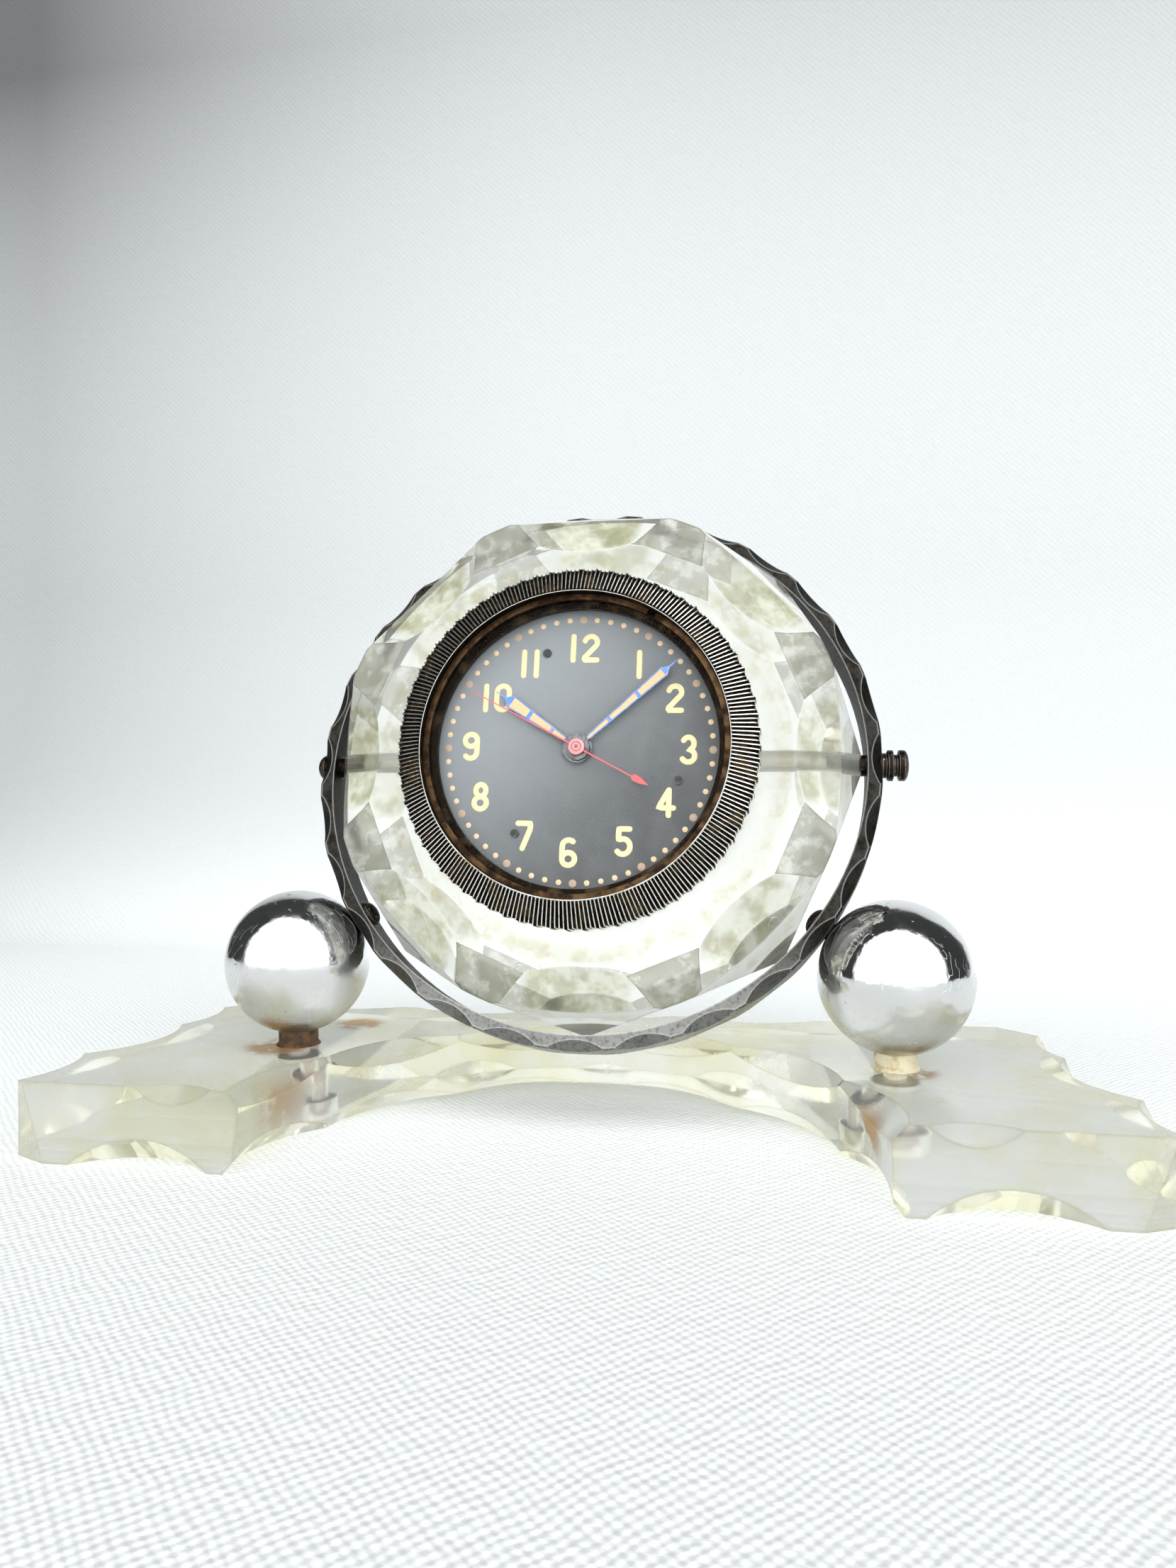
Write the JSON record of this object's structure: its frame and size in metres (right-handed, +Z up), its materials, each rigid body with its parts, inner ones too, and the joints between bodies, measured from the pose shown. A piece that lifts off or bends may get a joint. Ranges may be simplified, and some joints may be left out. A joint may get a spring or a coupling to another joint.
{
  "type": "dashboard clock",
  "caption": "Round bezel-wound dashboard clock in a faceted clear drum that tilts inside a metal ring, resting on steel balls and a clear scalloped base.",
  "frame": {"origin": "middle of the base plate's underside, on the surface that the clock stands on", "axes": "+X to the right as seen from the dial side, +Y towards the back, +Z up; the dial faces -Y and leans back"},
  "size_m": [0.184, 0.0689, 0.1182],
  "materials": {
    "clear_acrylic": "clear, slightly yellowed, polished",
    "cream_plastic": "satin",
    "bearing_steel": "polished, worn below",
    "aged_nickel": "aged, polished bevels",
    "dark_screws": "dark, worn",
    "case_steel": "black, satin",
    "cover_steel": "satin",
    "bezel_metal": "ribbed, tarnished",
    "bronze": "dark bronze",
    "brass": "satin",
    "steel": "satin",
    "glass": "clear, polished",
    "dial_grey": "matt dark grey",
    "blued_steel": "blued",
    "inlay": "matt peach fill",
    "red_paint": "satin red",
    "hub_copper": "satin pinkish red"
  },
  "bodies": {
    "stand": {"base_plate": "clear_acrylic", "ball_collar_left": "cream_plastic", "ball_collar_right": "cream_plastic", "ball_left": "bearing_steel", "ball_right": "bearing_steel", "ball_stud_left": "dark_screws", "ball_stud_right": "dark_screws", "ring": "aged_nickel", "ring_screw_left": "dark_screws", "ring_screw_right": "dark_screws"},
    "drum": {"drum": "clear_acrylic", "pivot_screw_left": "dark_screws", "clock_case": "case_steel", "back_cover": "cover_steel", "back_cover_screws": "steel", "dial": "dial_grey", "dial_screws": "steel", "bezel_retainer": "steel", "main_plate": "brass", "train_bridge": "brass", "bridge_pillars": "brass", "bridge_screws": "steel", "minute_wheel_post": "steel", "hairspring": "blued_steel", "hairspring_stud": "brass"},
    "thumb_screw": {"pivot_thumb_screw": "dark_screws"},
    "bezel": {"bezel": "bezel_metal", "bezel_gear": "brass", "glass": "glass", "glass_snap_ring": "bronze"},
    "winding_pinion": {"winding_pinion": "steel"},
    "ratchet": {"ratchet_wheel": "steel"},
    "barrel": {"barrel": "brass", "mainspring": "blued_steel"},
    "minute_arbor": {"centre_wheel": "brass", "cannon_pinion": "steel", "minute_hand": "blued_steel", "minute_hand_inlay": "inlay"},
    "minute_wheel": {"minute_wheel": "brass"},
    "hour_wheel": {"hour_wheel": "brass", "hour_hand": "blued_steel", "hour_hand_inlay": "inlay"},
    "third_wheel": {"third_wheel": "brass"},
    "fourth_wheel": {"fourth_wheel": "brass"},
    "seconds": {"seconds_arbor": "steel", "seconds_hand": "red_paint", "seconds_hub": "hub_copper"},
    "escape_wheel": {"escape_wheel": "steel"},
    "pallet_fork": {"pallet_fork": "steel"},
    "balance": {"balance_wheel": "brass"}
  },
  "joints": [
    {"name": "drum_tilt", "type": "hinge", "parent": "stand", "child": "drum", "pos_m": [0, 0.01316, 0.06583], "axis": [1, 0, 0], "continuous": true},
    {"name": "thumb_turn", "type": "hinge", "parent": "stand", "child": "thumb_screw", "pos_m": [0, 0.01316, 0.06583], "axis": [1, 0, 0], "continuous": true},
    {"name": "bezel_turn", "type": "hinge", "parent": "drum", "child": "bezel", "pos_m": [0, 0.01316, 0.06583], "axis": [0, 0.9836, -0.1805], "continuous": true},
    {"name": "winding_pinion_turn", "type": "hinge", "parent": "drum", "child": "winding_pinion", "pos_m": [-0.0193, 0.01616, 0.08222], "axis": [0, 0.9836, -0.1805], "continuous": true},
    {"name": "ratchet_turn", "type": "hinge", "parent": "drum", "child": "ratchet", "pos_m": [-0.01022, 0.01475, 0.07451], "axis": [0, 0.9836, -0.1805], "continuous": true},
    {"name": "minute_turn", "type": "hinge", "parent": "drum", "child": "minute_arbor", "pos_m": [0, 0.01316, 0.06583], "axis": [0, 0.9836, -0.1805], "continuous": true},
    {"name": "minute_wheel_turn", "type": "hinge", "parent": "drum", "child": "minute_wheel", "pos_m": [0.00163, 0.0142, 0.07151], "axis": [0, 0.9836, -0.1805], "continuous": true},
    {"name": "hour_turn", "type": "hinge", "parent": "drum", "child": "hour_wheel", "pos_m": [0, 0.01316, 0.06583], "axis": [0, 0.9836, -0.1805], "continuous": true},
    {"name": "barrel_turn", "type": "hinge", "parent": "drum", "child": "barrel", "pos_m": [-0.01022, 0.01475, 0.07451], "axis": [0, 0.9836, -0.1805], "continuous": true},
    {"name": "third_wheel_turn", "type": "hinge", "parent": "drum", "child": "third_wheel", "pos_m": [0.00866, 0.01271, 0.06342], "axis": [0, 0.9836, -0.1805], "continuous": true},
    {"name": "fourth_wheel_turn", "type": "hinge", "parent": "drum", "child": "fourth_wheel", "pos_m": [0.00697, 0.01112, 0.05473], "axis": [0, 0.9836, -0.1805], "continuous": true},
    {"name": "seconds_turn", "type": "hinge", "parent": "drum", "child": "seconds", "pos_m": [0, 0.01316, 0.06583], "axis": [0, 0.9836, -0.1805], "continuous": true},
    {"name": "escape_wheel_turn", "type": "hinge", "parent": "drum", "child": "escape_wheel", "pos_m": [0.00127, 0.01095, 0.05382], "axis": [0, 0.9836, -0.1805], "continuous": true},
    {"name": "fork_rock", "type": "hinge", "parent": "drum", "child": "pallet_fork", "pos_m": [-0.00357, 0.01073, 0.05261], "axis": [0, 0.9836, -0.1805], "range_deg": [-3, 3]},
    {"name": "balance_swing", "type": "hinge", "parent": "drum", "child": "balance", "pos_m": [-0.00911, 0.01088, 0.05346], "axis": [0, 0.9836, -0.1805], "range_deg": [-220, 220], "stiffness_Nm_per_rad": 0.000001}
  ],
  "couplings": [
    {"joint": "winding_pinion_turn", "follows": "bezel_turn", "ratio": 11.2},
    {"joint": "ratchet_turn", "follows": "bezel_turn", "ratio": -1.6},
    {"joint": "minute_wheel_turn", "follows": "minute_turn", "ratio": -0.33333},
    {"joint": "hour_turn", "follows": "minute_turn", "ratio": 0.083333},
    {"joint": "barrel_turn", "follows": "minute_turn", "ratio": -0.13333},
    {"joint": "third_wheel_turn", "follows": "minute_turn", "ratio": -8},
    {"joint": "fourth_wheel_turn", "follows": "minute_turn", "ratio": 60},
    {"joint": "seconds_turn", "follows": "minute_turn", "ratio": 60},
    {"joint": "escape_wheel_turn", "follows": "minute_turn", "ratio": -600}
  ]
}
